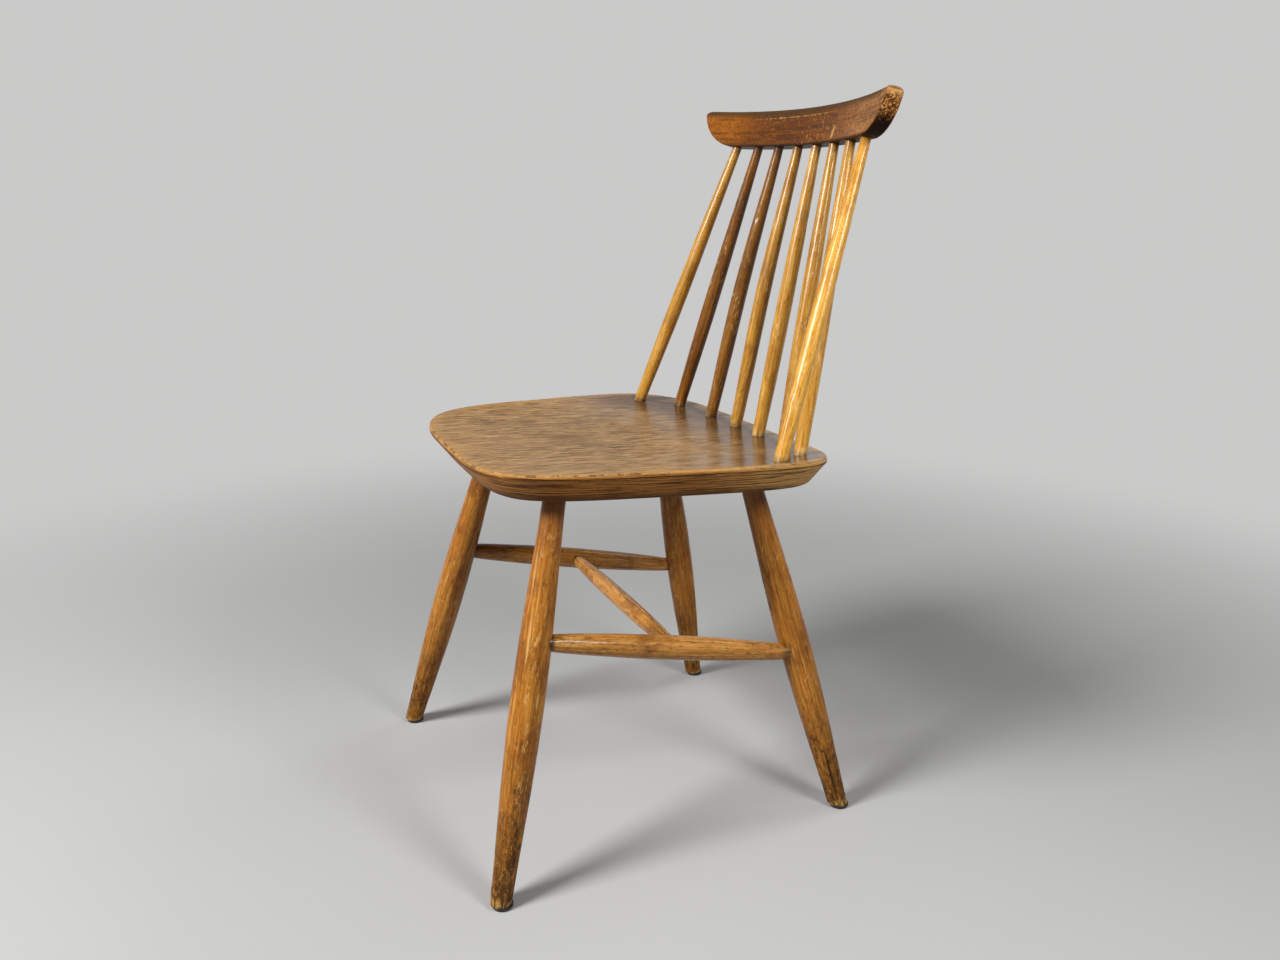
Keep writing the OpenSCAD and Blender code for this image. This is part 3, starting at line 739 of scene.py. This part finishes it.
    beneath = t.blend(c["under"], c["edgeDark"], t.fade(streak, 0.52, 0.34) * 0.5)
    beneath = t.blend(beneath, c["dark"], t.fade(cloud, 0.42, 0.66) * 0.5)

    colour = t.blend(edgeTone, face, top)
    colour = t.blend(colour, beneath, under)
    gloss = t.fade(spindle + (cloud - 0.5) * 0.08 + (streak - 0.5) * 0.06, 0.17, 0.05)
    roughTop = 0.42 - wholeVarnishAndShade * 0.12 - gloss * 0.1 + (streak - 0.5) * 0.3
    roughTop = roughTop + (mottle - 0.5) * 0.25 + lipTop * 0.12
    roughSide = 0.46 + (fine - 0.5) * 0.3
    rough = roughSide + (roughTop - roughSide) * top + under * 0.15
    coat = (gloss * seat["gloss"] + 0.01) * top * (1 - lipTop)
    heightTop = streak * 0.25 + fibre * 0.3 - strokes * 0.5 - marks * 0.5 + mottle * 0.1
    heightSide = fine * 0.9 + plies * 0.12 - scores * 0.4 - seam * 0.8 + dashes * 0.5
    height = heightSide + (heightTop - heightSide) * top
    t.surface(colour, rough, coat, height, seat["relief"], 0.0, seat["sheen"])
    return material


makeSeat()
print("seat made")


crest = {
    "width": 0.402, "faceHeight": 0.045, "thickness": 0.0195,
    "bend": 0.590, "lean": 12.0, "endLength": 0.060,
    "cornerRound": 0.008, "frontRound": 0.0085, "rearRound": 0.0075, "footRound": 0.002, "endRound": 0.0013,
    "baseHeight": 0.760, "wave": 0.0002, "upright": 30, "across": 10,
    # distances from an end, close together where it is rounded
    "endSteps": [
        0.0003, 0.0006, 0.0011, 0.0018, 0.0027, 0.0038, 0.005, 0.0065, 0.008,
        *np.linspace(0.0098, 0.060, 26),
    ],
    "knocks": 0.0006, "nick": (-0.055, -0.0085, 0.0335), "relief": 0.0004, "sheen": 0.1, "coat": 0.12,
    "colours": {
        "orange": tone(148, 84, 12), "red": tone(100, 52, 10), "dark": tone(52, 26, 7),
        "tan": tone(152, 104, 64), "deep": tone(26, 13, 5), "grime": tone(66, 48, 24),
        "fleck": tone(214, 164, 92), "bare": tone(222, 198, 158),
        "end": tone(142, 86, 34), "endPale": tone(218, 168, 104),
    },
}


def makeCrest():
    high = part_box("crest_rail")[1]
    tall, thick, bend = crest["faceHeight"], crest["thickness"], crest["bend"]
    lean = math.radians(crest["lean"])
    turn = math.asin(crest["width"] / 2 / bend)
    reach = bend * turn
    rise = crest["rearRound"]
    # the highest point of the rail's middle gives its place front to back
    backY = (thick / 2 - rise) * math.cos(lean) + (tall - rise) * math.sin(lean) + rise
    foot = Vector((0, high.y - backY, crest["baseHeight"]))
    place = Matrix.Translation(foot) @ Matrix.Rotation(-lean, 4, "X")

    along = np.concatenate([crest["endSteps"], np.linspace(0.062, reach, 66)])
    along = np.unique(np.round(along, 6))
    fromEnd = np.concatenate([along, along[::-1][1:]])
    side = np.concatenate([-np.ones(len(along)), np.ones(len(along) - 1)])
    run = side * (reach - fromEnd)

    endLength, corner = crest["endLength"], crest["cornerRound"]
    inside = np.clip(1 - fromEnd / endLength, 0, 1)
    lowest = tall * (1 - np.sqrt(np.maximum(0, 1 - inside ** 2)))
    highest = tall - corner + np.sqrt(np.maximum(0, corner ** 2 - np.maximum(0, corner - fromEnd) ** 2))
    highest = np.maximum(highest, lowest + 0.0002)

    upright, across = crest["upright"], crest["across"]
    ease = (1 - np.cos(np.linspace(0, np.pi, upright))) / 2
    heights = lowest[:, None] + (highest - lowest)[:, None] * ease[None]

    def face(height, roundTop, fromBoundary):
        # how far the face is set back from its plane at a height
        over = np.maximum(0, height - (tall - roundTop))
        top = roundTop - np.sqrt(np.maximum(0, roundTop ** 2 - over ** 2))
        edge = np.where(fromEnd[:, None] < endLength, crest["endRound"], crest["footRound"])
        near = np.maximum(0, edge - fromBoundary)
        return top + edge - np.sqrt(np.maximum(0, edge ** 2 - near ** 2))

    ovalX, ovalZ = (fromEnd[:, None] - endLength) / endLength, (heights - tall) / tall
    size = np.sqrt(ovalX ** 2 + ovalZ ** 2)
    slope = np.hypot(ovalX / endLength, ovalZ / tall) / np.maximum(size, 1e-6)
    boundary = np.where(fromEnd[:, None] < endLength, (1 - size) / np.maximum(slope, 1e-6), heights)
    cornerGap = np.where(
        (fromEnd[:, None] < corner) & (heights > tall - corner),
        corner - np.hypot(corner - fromEnd[:, None], heights - (tall - corner)), 1.0,
    )
    boundary = np.clip(np.minimum(boundary, cornerGap), 0, None)
    front = -thick / 2 + face(heights, crest["frontRound"], boundary)
    back = thick / 2 - face(heights, crest["rearRound"], boundary)
    crossing = np.linspace(0, 1, across)[1:-1]
    topLine = front[:, -1:] + (back[:, -1:] - front[:, -1:]) * crossing
    bottomLine = back[:, :1] + (front[:, :1] - back[:, :1]) * crossing
    offset = np.concatenate([front, topLine, back[:, ::-1], bottomLine], 1)
    height = np.concatenate([heights, np.repeat(heights[:, -1:], across - 2, 1), heights[:, ::-1],
                             np.repeat(heights[:, :1], across - 2, 1)], 1)
    isEnd = np.zeros_like(offset)
    isEnd[:, 0] = isEnd[:, 2 * upright + across - 3:] = 1
    isEnd *= smooth(endLength - fromEnd, 0, 0.02)[:, None]
    angle = (run / bend)[:, None]
    flat = np.stack([np.repeat(run[:, None], offset.shape[1], 1), offset, height], 2)
    radius = bend + offset
    rings = np.stack([radius * np.sin(angle), radius * np.cos(angle) - bend, height], 2)
    soft = crest["wave"] * lumps(flat * (0.35, 1, 1), 0.012, 31)
    knocks = np.maximum(0, lumps(flat, 0.006, 33) - 0.25) * crest["knocks"]
    knocks = knocks * smooth(height, tall - 0.006, tall)
    rings[..., 2] -= knocks + np.abs(soft) * smooth(height, tall - 0.004, tall)
    rings[..., 1] += soft * (offset < 0) * 0.6 - soft * (offset > 0) * 0.6
    fields = {"grain": flat, "endFace": isEnd}
    finish = crestFinish(reach)
    return makePiece("crest-rail-bent", rings, place, finish, "crest_rail", fields)


def crestFinish(reach):
    material, t = finishNamed("crestWood")
    c = crest["colours"]
    tall = crest["faceHeight"]
    grain = t.field("grain", "Vector")
    u, _, w = t.parts(grain)
    endFace = t.field("endFace")
    broad = t.figure(grain, (7, 70, 70), 3, 0.55, 0.3)
    streak = t.figure(grain, (18, 260, 260), 5, 0.7, 0.2)
    fibre = t.figure(grain, (60, 760, 760), 4, 0.68)
    ticks = t.fade(t.figure(grain, (330, 560, 560), 3, 0.65), 0.52, 0.62)
    cross = t.figure(grain, (260, 110, 110), 4, 0.72)
    cloud = t.figure(grain, (22, 32, 32), 5, 0.65)

    share = u / reach + (cloud - 0.5) * 0.6
    colour = t.blend(c["orange"], c["red"], t.fade(share, -0.80, -0.30))
    colour = t.blend(colour, c["tan"], t.fade(share, 0.15, 0.85))
    colour = t.blend(colour, c["dark"], t.fade(streak * 0.6 + broad * 0.4, 0.51, 0.41) * 0.5)
    colour = t.blend(colour, c["orange"], t.fade(fibre * 0.5 + streak * 0.5, 0.50, 0.60) * 0.45)
    colour = t.blend(colour, c["deep"], ticks * 0.42)
    colour = t.blend(colour, c["dark"], t.fade(cross, 0.50, 0.40) * 0.3)
    speckle = t.fade(t.figure(grain, (340, 280, 280), 4, 0.75), 0.57, 0.63)
    speckle = speckle * t.fade(share, -0.6, 0.2) * t.fade(cloud, 0.42, 0.55)
    colour = t.blend(colour, c["fleck"], speckle * 0.5)
    old = t.fade(abs(u - 0.072 + (w - 0.012) * -0.3), 0.0035, 0.001) * t.fade(w, 0.020, 0.012)
    colour = t.blend(colour, c["fleck"], old * t.fade(w, 0.002, 0.006) * 0.6)

    # hands have left a dark band along the upper edge
    band = t.fade(w + (streak - 0.5) * 0.010 + (cloud - 0.5) * 0.008, tall - 0.0135, tall - 0.0045)
    colour = t.blend(colour, c["grime"], band * (1 - t.fade(u, reach - 0.020, reach - 0.006)) * 0.85)
    line = t.fade(abs(w - 0.0335 + (broad - 0.5) * 0.001), 0.0007, 0.0002)
    line = line * t.fade(abs(u + 0.02), 0.1, 0.05) * t.fade(cross, 0.42, 0.55)
    colour = t.blend(colour, c["fleck"], line * 0.6)
    fromNick = t.node("VectorMath", {"operation": "DISTANCE"}, {0: grain, 1: crest["nick"]}, "Value")
    nick = t.fade(fromNick, 0.0018, 0.001)
    colour = t.blend(colour, c["bare"], nick)
    rim = t.fade(w, 0.0035, 0.0008)
    colour = t.blend(colour, c["deep"], rim * 0.7)
    outline = t.fade(u + reach + (cloud - 0.5) * 0.003, 0.0030, 0.0008)
    colour = t.blend(colour, c["deep"], outline * 0.6)

    # end grain: mottled, with pale flecks, a painted highlight along the top and darker low down, partly
    # dirt and partly painted shade
    mottle = t.figure(grain, (270, 270, 270), 5, 0.72, 1.5, shift=(2, 2, 2))
    ending = t.blend(c["end"], c["dark"], t.fade(mottle, 0.53, 0.44) * 0.9)
    ending = t.blend(ending, c["endPale"], t.fade(mottle, 0.54, 0.59) * 0.85)
    # painted highlight along the top of the end face
    ending = t.blend(ending, c["endPale"], t.fade(w, tall - 0.012, tall - 0.003) * 0.7)
    # darker low down: partly dirt, partly painted shade where the end turns downward
    ending = t.blend(ending, c["deep"], t.fade(w + (mottle - 0.5) * 0.014, 0.022, 0.011) * 0.97)
    colour = t.blend(colour, ending, endFace)

    rough = 0.46 + (streak - 0.5) * 0.25 + band * 0.15 + t.fade(share, 0.1, 0.9) * 0.14 + endFace * 0.1
    coat = (1 - t.least(band + endFace + t.fade(share, 0.2, 0.9) * 0.8, 1.0)) * crest["coat"]
    height = streak * 0.4 + fibre * 0.3 - ticks * 0.4 - nick * 0.8 - line * 0.5
    height = height + cross * 0.3 + mottle * endFace
    t.surface(colour, rough, coat, height, crest["relief"], 0.0, crest["sheen"])
    return material


makeCrest()
print("crest rail made")


# glides and their nails keep their shapes and get a finish each
glides = {
    "black": tone(28, 27, 26), "dust": tone(96, 88, 76),
    "steel": tone(150, 148, 142), "rust": tone(96, 58, 34),
}


def glideFinish():
    material, t = finishNamed("blackGlide")
    own = t.node("TexCoord", {}, {}, "Object")
    low = t.parts(own)[2]
    scuff = t.fade(t.noise(own, 420, 5, 0.7), 0.5, 0.68)
    grit = t.fade(t.noise(own, 1100, 3, 0.6), 0.52, 0.7)
    dusty = t.most(scuff * 0.4, t.fade(low, 0.0025, 0.0) * grit * 0.6)
    colour = t.blend(glides["black"], glides["dust"], dusty)
    t.surface(colour, 0.42 + dusty * 0.3, 0.0, scuff * 0.6 + grit * 0.3, 0.00015)
    return material


def nailFinish():
    material, t = finishNamed("dullNail")
    own = t.node("TexCoord", {}, {}, "Object")
    stain = t.fade(t.noise(own, 520, 5, 0.7), 0.48, 0.64)
    brush = t.figure(own, (2400, 500, 500), 3, 0.6)
    colour = t.blend(glides["steel"], glides["rust"], stain * 0.8)
    rough = 0.34 + stain * 0.4 + (brush - 0.5) * 0.2
    t.surface(colour, rough, 0.0, brush * 0.4 + stain * 0.4, 0.0001, 1 - stain * 0.8)
    return material


black, steel = glideFinish(), nailFinish()
for node, piece in nodes.items():
    if "glide" in node:
        finish, slotName = (steel, "nail_steel") if node == "glide_nails" else (black, "glide_plastic")
        if not piece.material_slots:
            piece.data.materials.append(finish)
        for slot in piece.material_slots:
            slot.material = finish
print("glides finished")


# floor, lights and camera
studio = {
    "floorColour": (0.48, 0.48, 0.475), "floorBounce": (0.30, 0.30, 0.30),
    "background": (0.59, 0.59, 0.585),
    "ambient": 0.065, "floorFade": (0.5, 1.9), "floorReach": 14, "floorAround": 96, "floorMottle": 0.97,
    "aimHeight": 0.42, "lamps": [
        # name, direction towards it (degrees round from the front, degrees up), distance, size, watts
        ("keyLamp", 8, 34, 2.6, 0.9, 90),
        ("fillLamp", 108, 30, 1.3, 0.4, 9),
        ("backLamp", 190, 45, 2.8, 1.2, 11),
    ],
    # the camera stands here from the middle of the seat, on the floor's level
    "camera": {
        "from": (1.12155, -0.45623, 0.70527), "yaw": 66.6215, "pitch": 15.2179,
        "lens": 29.53, "sensor": 36.0,
    },
}


def seenDirectly(t):
    # 1 where the camera sees something itself or in a reflection, and 0 where it only lights the chair
    seen = t.node("LightPath", {}, {}, "Is Camera Ray")
    for ray in ("Is Glossy Ray", "Is Transmission Ray"):
        seen = t.most(seen, t.node("LightPath", {}, {}, ray))
    return seen


def makeFloor():
    mesh = bpy.data.meshes.new("floor")
    turn, reach = fullTurn(studio["floorAround"]), studio["floorReach"]
    rim = np.stack([reach * np.cos(turn), reach * np.sin(turn), np.zeros(len(turn))], 1)
    mesh.from_pydata(rim.tolist(), [], [list(range(len(turn)))])
    material, t = finishNamed("paleFloor")
    own = t.node("TexCoord", {}, {}, "Object")
    soft = t.noise(own, 3.0, 3, 0.5)
    pale = studio["floorColour"]
    colour = t.blend(tuple(value * studio["floorMottle"] for value in pale), pale, soft)
    colour = t.blend(studio["floorBounce"], colour, seenDirectly(t))
    lit = t.shader(colour, 0.85, 0.0, t.noise(own, 60, 2, 0.5), 0.0002, 0.0, 0.2)
    # far from the chair the floor fades into the background, so that no horizon shows
    far = t.fade(t.node("VectorMath", {"operation": "LENGTH"}, {0: own}, "Value"), *studio["floorFade"])
    glow = t.node("Emission", {}, {"Color": (*studio["background"], 1), "Strength": 1.0})
    mixed = t.node("MixShader", {}, {0: far * seenDirectly(t), 1: lit, 2: glow})
    t.node("OutputMaterial", {}, {"Surface": mixed})
    mesh.materials.append(material)
    intoScene("floor", mesh)


def makeWorld():
    world = bpy.data.worlds.new("studio")
    bpy.context.scene.world = world
    world.use_nodes = True
    t = Tree(world.node_tree)
    colour = t.blend((studio["ambient"],) * 3, studio["background"], seenDirectly(t))
    back = t.node("Background", {}, {"Color": colour, "Strength": 1.0})
    t.node("OutputWorld", {}, {"Surface": back})


def makeLamps():
    aim = Vector((0, 0, studio["aimHeight"]))
    for name, around, up, far, size, watts in studio["lamps"]:
        a, e = math.radians(around), math.radians(up)
        towards = Vector((math.sin(a) * math.cos(e), -math.cos(a) * math.cos(e), math.sin(e)))
        data = bpy.data.lights.new(name, "AREA")
        data.shape, data.size, data.energy = "DISK", size, watts
        lamp = intoScene(name, data)
        lamp.location = aim + towards * far
        lamp.rotation_euler = towards.to_track_quat("Z", "Y").to_euler()


def makeCamera():
    shot = studio["camera"]
    data = bpy.data.cameras.new("camera")
    data.sensor_width, data.lens = shot["sensor"], shot["lens"]
    camera = intoScene("camera", data)
    low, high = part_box("seat")
    camera.location = Vector(shot["from"]) + Vector((0, (low.y + high.y) / 2, 0))
    camera.rotation_euler = (math.radians(90 - shot["pitch"]), 0, math.radians(shot["yaw"]))
    bpy.context.scene.camera = camera


makeFloor()
makeWorld()
makeLamps()
makeCamera()
bpy.context.scene.view_settings.view_transform = "Standard"
print("studio ready")
